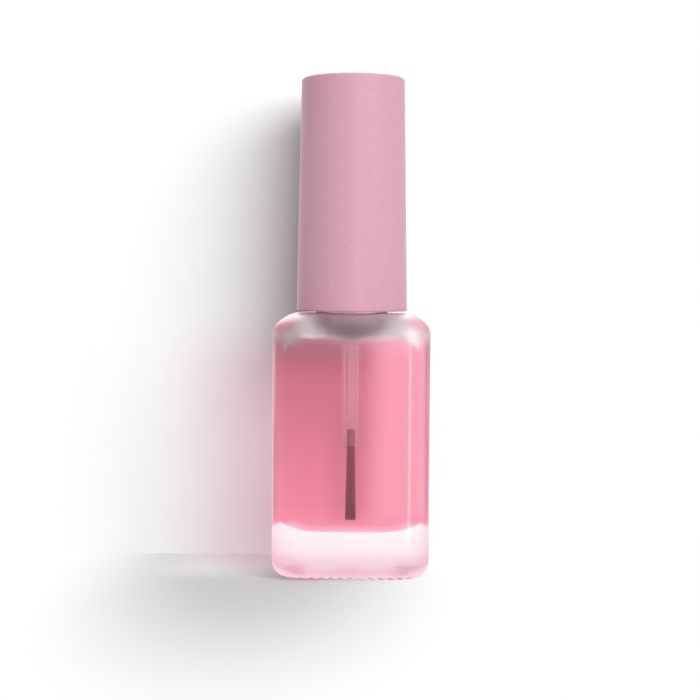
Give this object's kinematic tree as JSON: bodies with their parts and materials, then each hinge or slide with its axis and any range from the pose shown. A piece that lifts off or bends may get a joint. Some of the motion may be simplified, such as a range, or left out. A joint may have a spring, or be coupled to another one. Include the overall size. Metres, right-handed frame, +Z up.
{
  "type": "cuticle oil bottle",
  "caption": "Square clear glass bottle of pink oil with a tall tapered pink screw cap that carries a hollow stem and brush.",
  "frame": {"origin": "middle of the bottle's foot, on the surface that it stands on", "axes": "+Z up along the bottle's axis to the cap, -Y out of the front face, +X to the right seen from the front"},
  "size_m": [0.0254, 0.0254, 0.082],
  "materials": {
    "flint_glass": "polished clear glass",
    "pink_oil": "clear pink oil",
    "satin_pink": "satin pink coating",
    "black_closure": "moulded black polypropylene",
    "washer_foam": "soft white sealing foam",
    "natural_polyethylene": "natural translucent polyethylene",
    "staple_wire": "bare wire",
    "nylon_bristle": "dark nylon filaments"
  },
  "bodies": {
    "bottle": {"glass_bottle": "flint_glass", "oil_fill": "pink_oil"},
    "seal": {"sealing_washer": "washer_foam"},
    "applicator": {"inner_cap": "black_closure", "outer_cap": "satin_pink", "brush_stem": "natural_polyethylene", "bristle_anchor": "staple_wire", "bristle_tuft": "nylon_bristle"}
  },
  "joints": [
    {"name": "cap_lift", "type": "slide", "parent": "bottle", "child": "seal", "axis": [0, 0, 1], "range_m": [0, 0.055]},
    {"name": "cap_turn", "type": "hinge", "parent": "seal", "child": "applicator", "pos_m": [0, 0, 0.0542], "axis": [0, 0, 1], "range_deg": [0, 720]}
  ]
}
